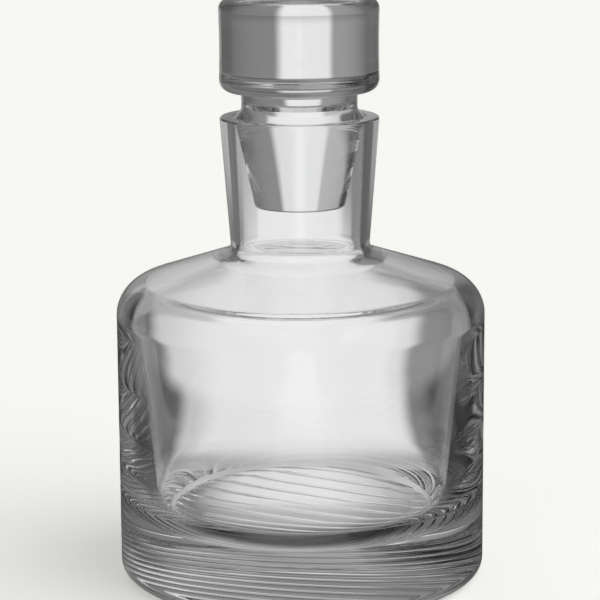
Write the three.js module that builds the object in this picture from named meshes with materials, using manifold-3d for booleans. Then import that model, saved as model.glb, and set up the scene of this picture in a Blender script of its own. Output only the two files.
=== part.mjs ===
// Decanter: a thick-walled round glass bottle with a fluted underside, and its solid glass stopper.
// Millimetres, +Z up, origin at the centre of the underside. Both pieces are turned about the Z axis.

import * as THREE from "three";
import { mergeVertices } from "three/addons/utils/BufferGeometryUtils.js";
import Module from "manifold-3d";

const wasm = await Module();
wasm.setup();

// Outside of the body
const bodyRadius = 64.5;
const footRound = 5.5;
const shoulderCornerHeight = 102.8;
const shoulderRound = 12.3;
const shoulderRise = 13.3;

// Neck, from its foot on the shoulder up to the rim
const neckHeight = 46.5;
const neckFootRound = 3.2;
const throatRadius = 20.6;
const throatWall = 3.5;
const throatRound = 12;
const mouthRadius = 22.7;
const rimWall = 5;
const rimEase = 0.8;

// Hollow inside the body: its wall narrows a little down to a soft bend, and more from there to the floor
const hollowTopRadius = 59.2;
const hollowBendRadius = 53.4;
const hollowBendHeight = 36.7;
const hollowBendRound = 95;
const hollowFootRadius = 50.75;
const shoulderWall = 6.1;
const floorThickness = 20.45;
const floorRound = 15.2;
const hollowShoulderRound = 9;

// Flutes cut side by side across the underside, turned from the X axis
const fluteCount = 14;
const flutePitch = 9.4;
const fluteWidth = 8.2;
const fluteDepth = 1.1;
const fluteTurn = -24;

// Stopper
const seatGap = 0.3;
const plugLength = 31;
const plugTaper = 12.6;
const plugTipRound = 1.2;
const plugEdgeRound = 0.4;
const flareHeight = 2.6;
const flareRound = 2.4;
const waistRadius = 20.1;
const waistHeight = 8.8;
const waistRound = 1;
const headRadius = 27.8;
const headHeight = 31.8;
const headHollow = 0.45;
const headHollowRound = 300;
const headBottomRound = 4.1;
const headTopRound = 3.6;

// Fineness of the facets
const turnSteps = 64;
const degreesPerArcStep = 18;
const fluteSteps = 6;

// Heights of the levels, from the underside up
const neckFootHeight = shoulderCornerHeight + shoulderRise;
const rimHeight = neckFootHeight + neckHeight;
const headBottomHeight = rimHeight + waistHeight;
const headTopHeight = headBottomHeight + headHeight;

const point = (radius, height) => new THREE.Vector2(radius, height);
const corner = (radius, height, round = 0) => ({ at: point(radius, height), round });

// A round takes at most this share of the shorter leg beside its corner, and has at least this many steps
const longestReach = 0.8;
const fewestArcSteps = 2;

// Turns a list of corners into an outline, with a tangent arc at each corner that has a round.
function roundCorners(corners) {
  const outline = [];
  corners.forEach(({ at, round }, i) => {
    if (round === 0) {
      outline.push(at);
      return;
    }
    const back = corners[i - 1].at.clone().sub(at);
    const ahead = corners[i + 1].at.clone().sub(at);
    const shortLeg = Math.min(back.length(), ahead.length());
    back.normalize();
    ahead.normalize();
    const halfAngle = back.angleTo(ahead) / 2;
    const reach = Math.min(round / Math.tan(halfAngle), longestReach * shortLeg);
    const toCentre = back.clone().add(ahead).setLength(reach / Math.cos(halfAngle));
    const centre = at.clone().add(toCentre);
    const start = at.clone().addScaledVector(back, reach);
    const side = Math.sign(ahead.cross(back));
    const arc = side * (Math.PI - 2 * halfAngle);
    const arcDegrees = Math.abs(THREE.MathUtils.radToDeg(arc));
    const steps = Math.max(fewestArcSteps, Math.ceil(arcDegrees / degreesPerArcStep));
    for (let step = 0; step <= steps; step += 1) {
      outline.push(start.clone().rotateAround(centre, (arc * step) / steps));
    }
  });
  return outline;
}

// Revolves an outline about the Z axis.
function turned(outline) {
  return new THREE.LatheGeometry(outline, turnSteps).rotateX(Math.PI / 2);
}

// Merges a geometry's shared vertices and hands it over as a solid for cutting.
function toSolid(geometry) {
  const bare = geometry.clone();
  bare.deleteAttribute("normal");
  bare.deleteAttribute("uv");
  const merged = mergeVertices(bare);
  return new wasm.Manifold(new wasm.Mesh({
    numProp: 3,
    vertProperties: new Float32Array(merged.attributes.position.array),
    triVerts: new Uint32Array(merged.index.array),
  }));
}

function toGeometry(solid) {
  const { vertProperties, triVerts } = solid.getMesh();
  const geometry = new THREE.BufferGeometry();
  geometry.setAttribute("position", new THREE.BufferAttribute(vertProperties, 3));
  geometry.setIndex(new THREE.BufferAttribute(triVerts, 1));
  geometry.computeVertexNormals();
  return geometry;
}

// One closed outline: up the outside, over the rim, and down the inside to the floor.
function bottleOutline() {
  const neckFootRadius = throatRadius + throatWall;
  const slope = shoulderRise / (bodyRadius - neckFootRadius);
  const shoulderDrop = shoulderWall * Math.hypot(1, slope);
  const hollowHeight = (radius) => neckFootHeight - slope * (radius - neckFootRadius) - shoulderDrop;
  return roundCorners([
    corner(0, 0),
    corner(bodyRadius, 0, footRound),
    corner(bodyRadius, shoulderCornerHeight, shoulderRound),
    corner(neckFootRadius, neckFootHeight, neckFootRound),
    corner(mouthRadius + rimWall, rimHeight, rimEase),
    corner(mouthRadius, rimHeight, rimEase),
    corner(throatRadius, hollowHeight(throatRadius), throatRound),
    corner(hollowTopRadius, hollowHeight(hollowTopRadius), hollowShoulderRound),
    corner(hollowBendRadius, hollowBendHeight, hollowBendRound),
    corner(hollowFootRadius, floorThickness, floorRound),
    corner(0, floorThickness),
  ]);
}

// At each end a cutter runs past the body by this share of its radius
const cutterOverrun = 0.1;

// A flute is a shallow round channel: the cutter's section is the segment of a circle under an arch.
function fluteCutter() {
  const arcRadius = (fluteWidth ** 2 / 4 + fluteDepth ** 2) / (2 * fluteDepth);
  const halfArc = Math.asin(fluteWidth / 2 / arcRadius);
  const section = new THREE.Shape();
  section.absarc(0, fluteDepth - arcRadius, arcRadius, Math.PI / 2 + halfArc, Math.PI / 2 - halfArc, true);
  section.lineTo(fluteWidth / 2, -fluteDepth);
  section.lineTo(-fluteWidth / 2, -fluteDepth);
  section.closePath();
  const length = 2 * bodyRadius * (1 + cutterOverrun);
  const channel = new THREE.ExtrudeGeometry(section, {
    depth: length, bevelEnabled: false, curveSegments: fluteSteps,
  });
  // The extrusion runs along Z: turned so that it lies along X with its arch upwards
  channel.translate(0, 0, -length / 2);
  channel.rotateX(Math.PI / 2);
  channel.rotateZ(Math.PI / 2);
  return channel;
}

function bottleGeometry() {
  let bottle = toSolid(turned(bottleOutline()));
  for (let i = 0; i < fluteCount; i += 1) {
    const offset = (i - (fluteCount - 1) / 2) * flutePitch;
    const cutter = fluteCutter().translate(0, offset, 0);
    cutter.rotateZ(THREE.MathUtils.degToRad(fluteTurn));
    bottle = bottle.subtract(toSolid(cutter));
  }
  return toGeometry(bottle);
}

// The plug is widest at the rim, where it closes the mouth, and tapers down into the neck.
function stopperOutline() {
  const plugRadius = mouthRadius - seatGap;
  const tipRadius = plugRadius - plugLength * Math.tan(THREE.MathUtils.degToRad(plugTaper));
  return roundCorners([
    corner(0, rimHeight - plugLength),
    corner(tipRadius, rimHeight - plugLength, plugTipRound),
    corner(plugRadius, rimHeight, plugEdgeRound),
    corner(waistRadius, rimHeight + flareHeight, flareRound),
    corner(waistRadius, headBottomHeight, waistRound),
    corner(headRadius, headBottomHeight, headBottomRound),
    corner(headRadius - headHollow, headBottomHeight + headHeight / 2, headHollowRound),
    corner(headRadius, headTopHeight, headTopRound),
    corner(0, headTopHeight),
  ]);
}

const clearGlass = { color: 0xe6eae7, roughness: 0.04, metalness: 0 };

function piece(name, geometry) {
  const mesh = new THREE.Mesh(geometry, new THREE.MeshStandardMaterial(clearGlass));
  mesh.name = name;
  return mesh;
}

const decanter = new THREE.Group();
decanter.add(piece("bottle", bottleGeometry()));
decanter.add(piece("stopper", turned(stopperOutline())));

export default decanter;
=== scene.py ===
import math

import bmesh
import bpy
from mathutils import Matrix, Vector


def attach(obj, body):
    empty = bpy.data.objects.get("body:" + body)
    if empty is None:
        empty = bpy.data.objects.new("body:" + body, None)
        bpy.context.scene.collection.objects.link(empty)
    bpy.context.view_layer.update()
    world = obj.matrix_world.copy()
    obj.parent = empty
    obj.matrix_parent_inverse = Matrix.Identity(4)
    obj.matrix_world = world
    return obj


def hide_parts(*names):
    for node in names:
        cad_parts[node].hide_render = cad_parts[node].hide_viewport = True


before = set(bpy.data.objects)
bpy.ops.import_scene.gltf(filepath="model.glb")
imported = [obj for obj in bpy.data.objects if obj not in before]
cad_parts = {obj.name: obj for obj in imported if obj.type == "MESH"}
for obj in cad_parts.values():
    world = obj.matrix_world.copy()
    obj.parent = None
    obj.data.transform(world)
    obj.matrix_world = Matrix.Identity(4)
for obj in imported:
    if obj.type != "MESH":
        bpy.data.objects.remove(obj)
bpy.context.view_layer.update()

# Glass decanter with a fluted underside and a solid stopper. Metres, +Z up, the bottle's axis is the Z axis.
# Both pieces take the place of their CAD nodes with smooth turned meshes, and the joint lifts the stopper.

mm = 0.001
supportGap = 0.25 * mm  # from the end of a straight run to its support point
mergeDistance = 0.002 * mm
scene = bpy.context.scene
scene.view_settings.view_transform = "Standard"


def addObject(name, bm):
    mesh = bpy.data.meshes.new(name)
    bm.to_mesh(mesh)
    bm.free()
    thing = bpy.data.objects.new(name, mesh)
    scene.collection.objects.link(thing)
    return thing


def wireOutline(corners):
    bm = bmesh.new()
    points = [bm.verts.new((radius * mm, 0, height * mm)) for radius, height, reach in corners]
    for lower, upper in zip(points, points[1:]):
        bm.edges.new((lower, upper))
    return bm, points


def roundCorner(bm, point, reach, segments):
    bmesh.ops.bevel(bm, geom=[point], offset=reach * mm, offset_type="OFFSET", affect="VERTICES",
                    segments=segments, profile=0.5, material=-1, clamp_overlap=False)


def reachOf(radius, before, corner, after):
    # how far from its corner a tangent arc of this radius starts
    back = Vector(before[:2]) - Vector(corner[:2])
    ahead = Vector(after[:2]) - Vector(corner[:2])
    return radius / math.tan(back.angle(ahead) / 2)


def spinRound(bm, steps):
    bmesh.ops.spin(bm, geom=bm.verts[:] + bm.edges[:], cent=(0, 0, 0), axis=(0, 0, 1),
                   angle=2 * math.pi, steps=steps, use_merge=True, use_duplicate=False)
    bmesh.ops.remove_doubles(bm, verts=bm.verts[:], dist=mergeDistance)
    bmesh.ops.recalc_face_normals(bm, faces=bm.faces[:])


def addSupports(bm):
    # a point close to each end of a straight run keeps the run's shading flat, so that it refracts truly
    shortestRun = 8 * supportGap
    for edge in bm.edges[:]:
        for end in edge.verts[:]:
            if edge.calc_length() > shortestRun:
                bmesh.utils.edge_split(edge, end, supportGap / edge.calc_length())


def roundedOutline(corners, segments):
    # each corner is (radius, height, round); a round becomes a tangent arc
    bm, points = wireOutline(corners)
    for i, corner in enumerate(corners):
        if corner[2]:
            reach = reachOf(corner[2], corners[i - 1], corner, corners[i + 1])
            roundCorner(bm, points[i], reach, segments)
    addSupports(bm)
    return bm


# bottle, in millimetres and degrees: outside, neck, hollow, flutes, fineness
bottle = {
    "bodyRadius": 64.5, "footRound": 5.5, "shoulderCorner": 102.8, "shoulderRound": 12.3, "shoulderRise": 13.3,
    "neckHeight": 46.5, "neckFootRound": 3.2, "throatRadius": 20.6, "throatWall": 3.5, "throatRound": 12.0,
    "mouthRadius": 22.7, "rimWall": 5.0, "rimEase": 0.8,
    "shoulderWall": 6.1, "floorThickness": 20.45, "hollowTopRadius": 59.2, "hollowBendRadius": 53.4,
    "hollowBendHeight": 36.7, "hollowBendRound": 95.0, "hollowFootRadius": 50.75,
    "floorRound": 15.2, "hollowShoulderRound": 9.0,
    "fluteCount": 14, "flutePitch": 9.4, "fluteWidth": 8.2, "fluteDepth": 1.1, "fluteTurn": -24.0,
    "cutterOverrun": 1.1, "cutterSegments": 160,
    "arcSegments": 20, "spinSteps": 192, "sharpAngle": 12.0,
}


def bottleMesh(d):
    neckFoot = d["throatRadius"] + d["throatWall"]
    neckFootHeight = d["shoulderCorner"] + d["shoulderRise"]
    rimHeight = neckFootHeight + d["neckHeight"]
    slope = d["shoulderRise"] / (d["bodyRadius"] - neckFoot)
    drop = d["shoulderWall"] * math.hypot(1, slope)
    hollow = d["hollowTopRadius"]

    def hollowHeight(radius):
        return neckFootHeight - slope * (radius - neckFoot) - drop

    corners = [
        (0, 0, 0),
        (d["bodyRadius"], 0, d["footRound"]),
        (d["bodyRadius"], d["shoulderCorner"], d["shoulderRound"]),
        (neckFoot, neckFootHeight, d["neckFootRound"]),
        (d["mouthRadius"] + d["rimWall"], rimHeight, d["rimEase"]),
        (d["mouthRadius"], rimHeight, d["rimEase"]),
        (d["throatRadius"], hollowHeight(d["throatRadius"]), d["throatRound"]),
        (hollow, hollowHeight(hollow), d["hollowShoulderRound"]),
        (d["hollowBendRadius"], d["hollowBendHeight"], d["hollowBendRound"]),
        (d["hollowFootRadius"], d["floorThickness"], d["floorRound"]),
        (0, d["floorThickness"], 0),
    ]
    bm = roundedOutline(corners, d["arcSegments"])
    spinRound(bm, d["spinSteps"])
    return bm


def fluteCutters(d):
    # each cutter is a segment of a circle, drawn out along the flute until it overruns the body
    arcRadius = (d["fluteWidth"] ** 2 / 4 + d["fluteDepth"] ** 2) / (2 * d["fluteDepth"])
    facingAlong = Matrix.Rotation(math.pi / 2, 4, "Y")
    bm = bmesh.new()
    for i in range(d["fluteCount"]):
        offset = (i - (d["fluteCount"] - 1) / 2) * d["flutePitch"]
        centre = Matrix.Translation((0, offset * mm, (d["fluteDepth"] - arcRadius) * mm))
        made = bmesh.ops.create_circle(bm, cap_ends=True, segments=d["cutterSegments"], radius=arcRadius * mm,
                                       matrix=centre @ facingAlong)
        face = made["verts"][0].link_faces[0]
        bmesh.ops.bisect_plane(bm, geom=[face] + list(face.edges) + list(face.verts), clear_inner=True,
                               plane_co=(0, 0, -d["fluteDepth"] * mm), plane_no=(0, 0, 1))
    bmesh.ops.translate(bm, verts=bm.verts[:], vec=(-d["cutterOverrun"] * d["bodyRadius"] * mm, 0, 0))
    pushed = bmesh.ops.extrude_face_region(bm, geom=bm.faces[:], use_keep_orig=True)
    ends = [g for g in pushed["geom"] if isinstance(g, bmesh.types.BMVert)]
    bmesh.ops.translate(bm, verts=ends, vec=(2 * d["cutterOverrun"] * d["bodyRadius"] * mm, 0, 0))
    bmesh.ops.recalc_face_normals(bm, faces=bm.faces[:])
    bmesh.ops.rotate(bm, verts=bm.verts[:], cent=(0, 0, 0),
                     matrix=Matrix.Rotation(math.radians(d["fluteTurn"]), 3, "Z"))
    return bm


def smoothShade(thing, sharpAngle):
    # smooth all over, but for edges that turn by more than the angle in degrees
    bm = bmesh.new()
    bm.from_mesh(thing.data)
    for face in bm.faces:
        face.smooth = True
    for edge in bm.edges:
        edge.smooth = not (len(edge.link_faces) == 2 and edge.calc_face_angle(0) > math.radians(sharpAngle))
    bm.to_mesh(thing.data)
    bm.free()


def makeBottle(d):
    glass = addObject("bottleGlass", bottleMesh(d))
    cutters = addObject("fluteCutters", fluteCutters(d))
    cut = glass.modifiers.new("flutes", "BOOLEAN")
    cut.operation = "DIFFERENCE"
    cut.solver = "EXACT"
    cut.object = cutters
    bpy.context.view_layer.update()
    finished = glass.evaluated_get(bpy.context.evaluated_depsgraph_get())
    cutMesh = bpy.data.meshes.new_from_object(finished)
    glass.modifiers.clear()
    glass.data = cutMesh
    bpy.data.objects.remove(cutters)
    smoothShade(glass, d["sharpAngle"])
    return glass


bottleGlass = makeBottle(bottle)
print("bottle made:", len(bottleGlass.data.polygons), "faces")


# stopper, in millimetres and degrees: plug, waist, head, fineness
stopper = {
    "seatGap": 0.3, "plugLength": 31.0, "plugTaper": 12.6, "plugTipRound": 1.2, "plugEdgeRound": 0.4,
    "flareHeight": 2.6, "flareRound": 2.4, "waistRadius": 20.1, "waistHeight": 8.8, "waistRound": 1.0,
    "headRadius": 27.8, "headHeight": 31.8, "headHollow": 0.45, "headHollowRound": 300.0,
    "headBottomRound": 4.1, "headTopRound": 3.6,
    "arcSegments": 10, "spinSteps": 160, "sharpAngle": 30.0,
}


def makeStopper(d, b):
    # the plug takes its size and place from the bottle's mouth
    rim = b["shoulderCorner"] + b["shoulderRise"] + b["neckHeight"]
    plug = b["mouthRadius"] - d["seatGap"]
    tip = plug - d["plugLength"] * math.tan(math.radians(d["plugTaper"]))
    headBottom = rim + d["waistHeight"]
    headTop = headBottom + d["headHeight"]
    corners = [
        (0, rim - d["plugLength"], 0),
        (tip, rim - d["plugLength"], d["plugTipRound"]),
        (plug, rim, d["plugEdgeRound"]),
        (d["waistRadius"], rim + d["flareHeight"], d["flareRound"]),
        (d["waistRadius"], headBottom, d["waistRound"]),
        (d["headRadius"], headBottom, d["headBottomRound"]),
        (d["headRadius"] - d["headHollow"], (headBottom + headTop) / 2, d["headHollowRound"]),
        (d["headRadius"], headTop, d["headTopRound"]),
        (0, headTop, 0),
    ]
    bm = roundedOutline(corners, d["arcSegments"])
    spinRound(bm, d["spinSteps"])
    glass = addObject("stopperGlass", bm)
    smoothShade(glass, d["sharpAngle"])
    return glass


stopperGlass = makeStopper(stopper, bottle)
print("stopper made:", len(stopperGlass.data.polygons), "faces")


# glass: a faint unevenness bends what shows through it, and its polish varies a little
glass = {
    "colour": (0.985, 0.99, 0.987), "refraction": 1.52,
    "surface": {"Ripple Scale": 30.0, "Ripple Height": 0.00008, "Smear Scale": 14.0, "Smear Roughness": 0.008},
    "rippleDetail": 1.0, "smearDetail": 4.0, "smearFrom": 0.45, "smearFull": 0.75,
}


def glassSurface(g):
    group = bpy.data.node_groups.new("glassSurface", "ShaderNodeTree")
    for name in g["surface"]:
        group.interface.new_socket(name, in_out="INPUT", socket_type="NodeSocketFloat")
    group.interface.new_socket("Roughness", in_out="OUTPUT", socket_type="NodeSocketFloat")
    group.interface.new_socket("Normal", in_out="OUTPUT", socket_type="NodeSocketVector")
    nodes, links = group.nodes, group.links
    place = nodes.new("ShaderNodeTexCoord")
    given = nodes.new("NodeGroupInput")
    out = nodes.new("NodeGroupOutput")
    ripple = nodes.new("ShaderNodeTexNoise")
    ripple.inputs["Detail"].default_value = g["rippleDetail"]
    links.new(place.outputs["Object"], ripple.inputs["Vector"])
    links.new(given.outputs["Ripple Scale"], ripple.inputs["Scale"])
    bump = nodes.new("ShaderNodeBump")
    links.new(given.outputs["Ripple Height"], bump.inputs["Distance"])
    links.new(ripple.outputs[0], bump.inputs["Height"])
    links.new(bump.outputs[0], out.inputs["Normal"])
    smear = nodes.new("ShaderNodeTexNoise")
    smear.inputs["Detail"].default_value = g["smearDetail"]
    links.new(place.outputs["Object"], smear.inputs["Vector"])
    links.new(given.outputs["Smear Scale"], smear.inputs["Scale"])
    dull = nodes.new("ShaderNodeMapRange")
    dull.inputs["From Min"].default_value = g["smearFrom"]
    dull.inputs["From Max"].default_value = g["smearFull"]
    links.new(given.outputs["Smear Roughness"], dull.inputs["To Max"])
    links.new(smear.outputs[0], dull.inputs["Value"])
    links.new(dull.outputs[0], out.inputs["Roughness"])
    return group


def clearGlass(name, g, surface):
    material = bpy.data.materials.new(name)
    material.use_nodes = True
    tree = material.node_tree
    shader = tree.nodes["Principled BSDF"]
    shader.inputs["Base Color"].default_value = (*g["colour"], 1)
    shader.inputs["IOR"].default_value = g["refraction"]
    shader.inputs["Transmission Weight"].default_value = 1
    detail = tree.nodes.new("ShaderNodeGroup")
    detail.node_tree = surface
    for socket, value in g["surface"].items():
        detail.inputs[socket].default_value = value
    for socket in ("Roughness", "Normal"):
        tree.links.new(detail.outputs[socket], shader.inputs[socket])
    return material


surface = glassSurface(glass)
bottleGlass.data.materials.append(clearGlass("bottleClear", glass, surface))
stopperGlass.data.materials.append(clearGlass("stopperClear", glass, surface))
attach(bottleGlass, "body")
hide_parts("bottle")
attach(stopperGlass, "stopper")
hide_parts("stopper")
print("glass made")


# camera, as the photograph was taken: metres, degrees downwards, and a lens in millimetres
camera = {
    "distance": 0.8348, "height": 0.27135, "aside": -0.0002, "pitch": 11.76, "roll": 0.35,
    "lens": 145.7, "sensor": 36.0,
}


def makeCamera(c):
    data = bpy.data.cameras.new("camera")
    data.lens = c["lens"]
    data.sensor_width = c["sensor"]
    thing = bpy.data.objects.new("camera", data)
    thing.matrix_world = (Matrix.Translation((c["aside"], -c["distance"], c["height"]))
                          @ Matrix.Rotation(math.radians(90 - c["pitch"]), 4, "X")
                          @ Matrix.Rotation(math.radians(-c["roll"]), 4, "Z"))
    scene.collection.objects.link(thing)
    scene.camera = thing


makeCamera(camera)


# stage: the camera sees a pale table and backdrop. The glass also sees painted light: a bright lane painted on the
# table, with painted shade by the foot, that runs to a glowing card close behind the object that the camera never
# sees, with a grey studio round them. Lists are (place in metres, brightness).
stage = {
    "pale": (0.913, 0.921, 0.879), "floorHalf": 6.0, "cameraGlow": 0.45,
    "keyLevel": 0.38, "keyAngle": 70.0, "keyTurn": (0.0, 40.0, -20.0),
    # surfaces that light has passed once it has crossed the hollow, and once it has crossed the plug as well
    "hollowCrossed": 3, "plugCrossed": 6, "bounces": 32,
    # painted lane of light outside the foot, darker at its sides, with painted shade close behind the foot: by x and
    # by y, and the y over which it widens to the card
    "paintedLaneAcross": [(-0.17, 0.20), (-0.10, 0.03), (-0.082, 0.10), (-0.066, 0.62), (-0.045, 0.87), (0.045, 0.93),
                   (0.055, 0.88), (0.069, 0.22), (0.095, 0.04), (0.17, 0.10)],
    "paintedLaneAlong": [(0.035, 0.75), (0.06, 0.56), (0.085, 0.92), (0.10, 1.0)],
    "laneWidens": (0.15, 0.18),
    # painted pool of light under the foot, with painted shade towards its front
    "footRadius": 0.0645, "footEdge": 0.004,
    "paintedUnderFootAlong": [(-0.06, 0.10), (-0.045, 0.03), (-0.027, 0.12), (0.0, 0.45), (0.027, 0.80), (0.062, 0.76)],
    "paintedUnderFootAcross": [(-0.065, 0.15), (-0.05, 0.25), (-0.021, 0.95), (0.012, 1.0), (0.034, 0.75), (0.065, 0.38)],
    # painted light and shade on the same table as seen through the solid base alone, out to the distance over which
    # that ends
    "paintedBaseAlong": [(-0.07, 0.08), (-0.045, 0.06), (-0.02, 0.52), (-0.005, 0.50), (0.015, 0.24), (0.07, 0.18)],
    "paintedBaseAcross": [(-0.055, 0.45), (-0.04, 0.50), (-0.028, 1.0), (0.0, 1.0), (0.03, 0.5), (0.05, 0.3)],
    "baseReach": (0.10, 0.14),
    # pale table (distance out, y) and backdrop (direction's y) beside and in front, for light never reflected
    "paleSeen": 0.85, "paleFrom": (0.07, 0.11), "paleBeside": (-0.01, 0.11), "paleSides": (0.05, 0.30),
    # card, a glowing sheet that is painted light for the glass, with a lower and an upper profile and the height over
    # which they change
    "cardPlace": 0.193, "cardHalf": 0.20, "cardTop": 0.20, "cardEdge": 0.02, "cardSideFade": 0.06,
    "cardChange": (0.05, 0.15),
    "cardLow": [(-0.19, 0.15), (-0.105, 0.15), (-0.08, 0.76), (-0.04, 0.94), (0.045, 0.95), (0.056, 0.84),
                (0.070, 0.30), (0.19, 0.12)],
    "cardHigh": [(-0.19, 0.30), (-0.12, 0.52), (-0.047, 0.56), (-0.036, 0.95), (0.0, 0.98), (0.032, 0.90),
                 (0.048, 0.28), (0.19, 0.18)],
    # painted refraction: card seen through solid glass alone, and its level above the top
    "straightAcross": [(-0.19, 0.14), (-0.05, 0.33), (-0.037, 0.84), (0.018, 0.87), (0.0345, 0.24), (0.19, 0.16)],
    "straightTop": (0.181, 0.193), "straightAbove": 0.4,
    # painted reflection: card seen by light that is thrown back inside solid glass: across low and high, upwards, and
    # their change
    "thrownLow": [(-0.19, 0.06), (-0.14, 0.16), (-0.05, 0.22), (0.02, 0.17), (0.12, 0.12), (0.19, 0.05)],
    "thrownHigh": [(-0.19, 0.10), (-0.155, 0.14), (-0.14, 0.46), (-0.06, 0.50), (-0.02, 0.26), (0.012, 0.26),
                   (0.02, 0.45), (0.085, 0.40), (0.135, 0.10), (0.19, 0.04)],
    "thrownUp": [(0.0, 0.30), (0.04, 0.38), (0.06, 0.85), (0.20, 1.2)], "thrownChange": (0.095, 0.125),
    # painted shade in reflections: the studio's level for the same light, darker towards the sides
    "thrownSides": (0.42, 0.62), "thrownAside": 0.25,
    # painted shade: band of the card, by height, that is dimmer in reflections inside the hollow
    "linesFrom": 0.09, "linesTo": 0.175, "linesLevel": 0.65,
    # studio greys by how far a direction leans to the right, darker on the left, and its soft boxes by direction
    "grey": 0.235, "leftChange": (-0.12, 0.05), "leftNear": 0.33, "leftFar": 0.15, "leftFrom": -0.30, "leftTo": -0.56,
    "darkGrey": 0.03, "darkFrom": -0.66, "darkTo": -0.74,
    "boxTop": {"x": (-0.6, 0.6), "y": (-0.3, 0.6), "z": (0.85, 2), "level": 0.42},
    "boxSide": {"x": (0.38, 2), "y": (-0.9, 0.12), "z": (0.42, 0.80), "level": 0.95},
    "boxFront": {"x": (-0.75, -0.02), "y": (-0.85, -0.25), "z": (0.60, 0.88), "level": 0.50}, "boxEdge": 0.06,
}


def calc(tree, operation, first, second=None):
    node = tree.nodes.new("ShaderNodeMath")
    node.operation = operation
    for socket, value in zip(node.inputs, (first, second)):
        if isinstance(value, (int, float)):
            socket.default_value = value
        elif value is not None:
            tree.links.new(value, socket)
    return node.outputs[0]


def times(tree, first, second):
    return calc(tree, "MULTIPLY", first, second)


def fade(tree, value, span, low, high):
    # smooth change from low to high while value goes through the span
    node = tree.nodes.new("ShaderNodeMapRange")
    node.interpolation_type = "SMOOTHSTEP"
    sockets = ("Value", "From Min", "From Max", "To Min", "To Max")
    for socket, number in zip(sockets, (value, *span, low, high)):
        if isinstance(number, (int, float)):
            node.inputs[socket].default_value = number
        else:
            tree.links.new(number, node.inputs[socket])
    return node.outputs[0]


def blend(tree, mask, low, high):
    return fade(tree, mask, (0, 1), low, high)


def splitPlace(tree, output):
    place = tree.nodes.new("ShaderNodeTexCoord")
    split = tree.nodes.new("ShaderNodeSeparateXYZ")
    tree.links.new(place.outputs[output], split.inputs[0])
    return split.outputs


def ramp(tree, value, stops):
    # brightness that runs smoothly through a list of stops
    first, last = stops[0][0], stops[-1][0]
    span = tree.nodes.new("ShaderNodeMapRange")
    span.inputs["From Min"].default_value = first
    span.inputs["From Max"].default_value = last
    tree.links.new(value, span.inputs["Value"])
    node = tree.nodes.new("ShaderNodeValToRGB")
    node.color_ramp.interpolation = "EASE"
    tree.links.new(span.outputs[0], node.inputs[0])
    marks = node.color_ramp.elements
    ends = {0: 0, len(stops) - 1: -1}  # a new ramp already has its two ends
    for i, (place, grey) in enumerate(stops):
        mark = marks[ends[i]] if i in ends else marks.new((place - first) / (last - first))
        mark.color = (grey, grey, grey, 1)
    return node.outputs["Color"]


def mixShaders(tree, mask, first, second):
    mix = tree.nodes.new("ShaderNodeMixShader")
    for socket, output in zip(mix.inputs, (mask, first, second)):
        tree.links.new(output, socket)
    return mix.outputs[0]


def emission(tree, strength, colour=(1, 1, 1)):
    glow = tree.nodes.new("ShaderNodeEmission")
    glow.inputs["Color"].default_value = (*colour, 1)
    tree.links.new(strength, glow.inputs["Strength"])
    return glow.outputs[0]


def newMaterial(name):
    material = bpy.data.materials.new(name)
    material.use_nodes = True
    material.node_tree.nodes.clear()
    return material, material.node_tree


def finishMaterial(tree, shader):
    out = tree.nodes.new("ShaderNodeOutputMaterial")
    tree.links.new(shader, out.inputs["Surface"])


def isReflected(tree, path):
    return calc(tree, "GREATER_THAN", path.outputs["Glossy Depth"], 0)


def neverReflected(tree, path):
    return calc(tree, "LESS_THAN", path.outputs["Glossy Depth"], 1)


def staysSolid(tree, path, s):
    # true for light that has not crossed the hollow
    return calc(tree, "LESS_THAN", path.outputs["Transmission Depth"], s["hollowCrossed"])


def surroundings(tree, side, s):
    # grey of the studio; side is how far a direction leans to the right
    slope = fade(tree, side, (s["leftTo"], s["leftFrom"]), s["leftFar"], s["leftNear"])
    dark = fade(tree, side, (s["darkTo"], s["darkFrom"]), s["darkGrey"] / s["leftFar"], 1)
    return fade(tree, side, s["leftChange"], times(tree, slope, dark), s["grey"])


def softBox(tree, below, direction, box, edge):
    # lays a soft-edged lit panel over what lies behind it
    shown = None
    for axis, output in zip("xyz", direction):
        first, last = box[axis]
        inside = times(tree, fade(tree, output, (first - edge, first + edge), 0, 1),
                       fade(tree, output, (last - edge, last + edge), 1, 0))
        shown = inside if shown is None else times(tree, shown, inside)
    return blend(tree, shown, below, box["level"])


def makeWorld(s):
    world = bpy.data.worlds.new("studio")
    world.use_nodes = True
    scene.world = world
    tree = world.node_tree
    tree.nodes.clear()
    path = tree.nodes.new("ShaderNodeLightPath")
    direction = splitPlace(tree, "Generated")
    level = surroundings(tree, direction["X"], s)
    for box in ("boxTop", "boxSide", "boxFront"):
        level = softBox(tree, level, direction, s[box], s["boxEdge"])
    straight = times(tree, path.outputs["Is Transmission Ray"], neverReflected(tree, path))
    beside = times(tree, straight, fade(tree, direction["Y"], s["paleSides"], 1, 0))
    level = blend(tree, beside, level, s["paleSeen"])
    # painted shade: light thrown back inside solid glass sees the studio darker towards the sides
    thrownInside = times(tree, staysSolid(tree, path, s), isReflected(tree, path))
    aside = fade(tree, calc(tree, "ABSOLUTE", direction["X"]), s["thrownSides"], 1, s["thrownAside"])
    hidden = tree.nodes.new("ShaderNodeBackground")
    tree.links.new(times(tree, level, blend(tree, thrownInside, 1, aside)), hidden.inputs["Strength"])
    shown = tree.nodes.new("ShaderNodeBackground")
    shown.inputs["Color"].default_value = (*s["pale"], 1)
    out = tree.nodes.new("ShaderNodeOutputWorld")
    seen = mixShaders(tree, path.outputs["Is Camera Ray"], hidden.outputs[0], shown.outputs[0])
    tree.links.new(seen, out.inputs["Surface"])


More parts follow.
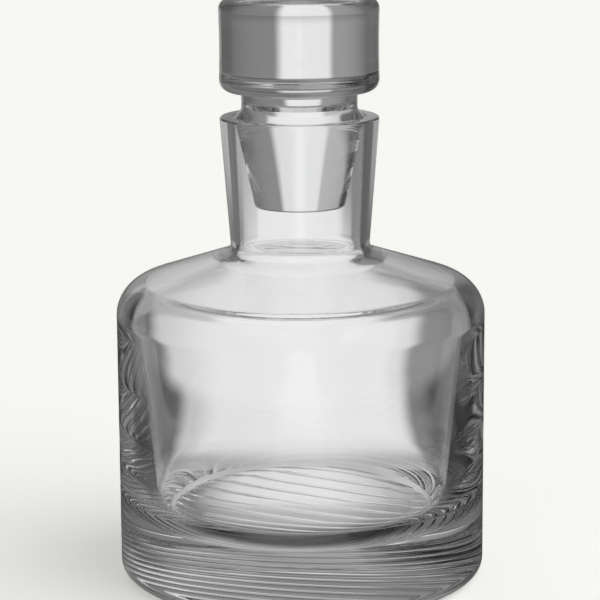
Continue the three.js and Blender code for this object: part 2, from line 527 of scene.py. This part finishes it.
def cardMaterial(s):
    # the card is painted light for the glass, which shows it in three ways, each painted apart: through the hollow,
    # straight through solid glass, and thrown back as a painted reflection
    material, tree = newMaterial("cardGlow")
    place = splitPlace(tree, "Object")
    x, z = place["X"], place["Z"]
    path = tree.nodes.new("ShaderNodeLightPath")
    reflected = isReflected(tree, path)
    edge = s["cardEdge"]
    height = fade(tree, z, s["cardChange"], 0, 1)
    throughHollow = blend(tree, height, ramp(tree, x, s["cardLow"]), ramp(tree, x, s["cardHigh"]))
    # painted shade: a band of the card, by height, is dimmer in reflections inside the hollow
    lines = times(tree, fade(tree, z, (s["linesFrom"] - edge, s["linesFrom"]), 0, 1),
                  fade(tree, z, (s["linesTo"] - edge, s["linesTo"]), 1, 0))
    besidePlug = calc(tree, "LESS_THAN", path.outputs["Transmission Depth"], s["plugCrossed"])
    paintedShadeBand = times(tree, times(tree, lines, besidePlug), reflected)
    throughHollow = times(tree, throughHollow, blend(tree, paintedShadeBand, 1, s["linesLevel"]))
    straight = times(tree, ramp(tree, x, s["straightAcross"]),
                     fade(tree, z, s["straightTop"], 1, s["straightAbove"]))
    across = fade(tree, z, s["thrownChange"], ramp(tree, x, s["thrownLow"]), ramp(tree, x, s["thrownHigh"]))
    thrownBack = times(tree, across, ramp(tree, z, s["thrownUp"]))
    throughSolid = blend(tree, reflected, straight, thrownBack)
    glow = emission(tree, blend(tree, staysSolid(tree, path, s), throughHollow, throughSolid))
    cover = times(tree, fade(tree, z, (s["cardTop"] - edge / 2, s["cardTop"] + edge / 2), 1, 0),
                  fade(tree, calc(tree, "ABSOLUTE", x), (s["cardHalf"] - s["cardSideFade"], s["cardHalf"]), 1, 0))
    clear = tree.nodes.new("ShaderNodeBsdfTransparent")
    finishMaterial(tree, mixShaders(tree, cover, clear.outputs[0], glow))
    return material


def paintedFloorLight(tree, path, s):
    # painted light and shade: what the glass sees of the table, in place of the lit paper
    place = splitPlace(tree, "Object")
    x, y = place["X"], place["Y"]
    away = calc(tree, "SQRT", calc(tree, "ADD", times(tree, x, x), times(tree, y, y)))
    lane = times(tree, ramp(tree, x, s["paintedLaneAcross"]), ramp(tree, y, s["paintedLaneAlong"]))
    outside = fade(tree, y, s["laneWidens"], lane, ramp(tree, x, s["cardLow"]))
    beside = times(tree, fade(tree, away, s["paleFrom"], 0, 1), fade(tree, y, s["paleBeside"], 1, 0))
    outside = blend(tree, times(tree, beside, neverReflected(tree, path)), outside, s["paleSeen"])
    under = times(tree, ramp(tree, x, s["paintedUnderFootAcross"]), ramp(tree, y, s["paintedUnderFootAlong"]))
    seen = fade(tree, away, (s["footRadius"] - s["footEdge"], s["footRadius"]), under, outside)
    base = times(tree, ramp(tree, x, s["paintedBaseAcross"]), ramp(tree, y, s["paintedBaseAlong"]))
    nearBase = times(tree, staysSolid(tree, path, s), fade(tree, away, s["baseReach"], 1, 0))
    return blend(tree, nearBase, seen, base)


def floorMaterial(s):
    material, tree = newMaterial("paleFloor")
    path = tree.nodes.new("ShaderNodeLightPath")
    paper = tree.nodes.new("ShaderNodeBsdfDiffuse")
    paper.inputs["Color"].default_value = (*s["pale"], 1)
    direct = emission(tree, times(tree, path.outputs["Is Camera Ray"], s["cameraGlow"]), s["pale"])
    lit = tree.nodes.new("ShaderNodeAddShader")
    tree.links.new(paper.outputs[0], lit.inputs[0])
    tree.links.new(direct, lit.inputs[1])
    # glass rays see the painted light and shade of the table; the camera sees the evenly pale paper with its real
    # shadow
    throughGlass = calc(tree, "MAXIMUM", path.outputs["Is Transmission Ray"], path.outputs["Is Glossy Ray"])
    glow = emission(tree, paintedFloorLight(tree, path, s))
    finishMaterial(tree, mixShaders(tree, throughGlass, lit.outputs[0], glow))
    return material


def sheet(name, size, turn, place, material):
    bm = bmesh.new()
    bmesh.ops.create_grid(bm, x_segments=1, y_segments=1, size=size)
    bmesh.ops.rotate(bm, verts=bm.verts[:], cent=(0, 0, 0),
                     matrix=Matrix.Rotation(math.radians(turn), 3, "X"))
    bmesh.ops.translate(bm, verts=bm.verts[:], vec=place)
    thing = addObject(name, bm)
    thing.data.materials.append(material)
    return thing


def keyLight(s):
    data = bpy.data.lights.new("keyLight", "SUN")
    data.energy = s["keyLevel"] * math.pi
    data.angle = math.radians(s["keyAngle"])
    lamp = bpy.data.objects.new("keyLight", data)
    lamp.rotation_euler = [math.radians(a) for a in s["keyTurn"]]
    # it lights the table and makes the shadow; the glass sees the soft boxes instead
    lamp.visible_glossy = False
    lamp.visible_transmission = False
    scene.collection.objects.link(lamp)


makeWorld(stage)
sheet("floor", stage["floorHalf"], 0, (0, 0, 0), floorMaterial(stage))
card = sheet("card", stage["cardHalf"], 90, (0, stage["cardPlace"], stage["cardHalf"]), cardMaterial(stage))
card.visible_camera = False
card.visible_diffuse = False
card.visible_shadow = False
keyLight(stage)
# light crosses many glass surfaces before it leaves
scene.cycles.max_bounces = stage["bounces"]
scene.cycles.transmission_bounces = stage["bounces"]
scene.cycles.glossy_bounces = stage["bounces"]
print("stage made")
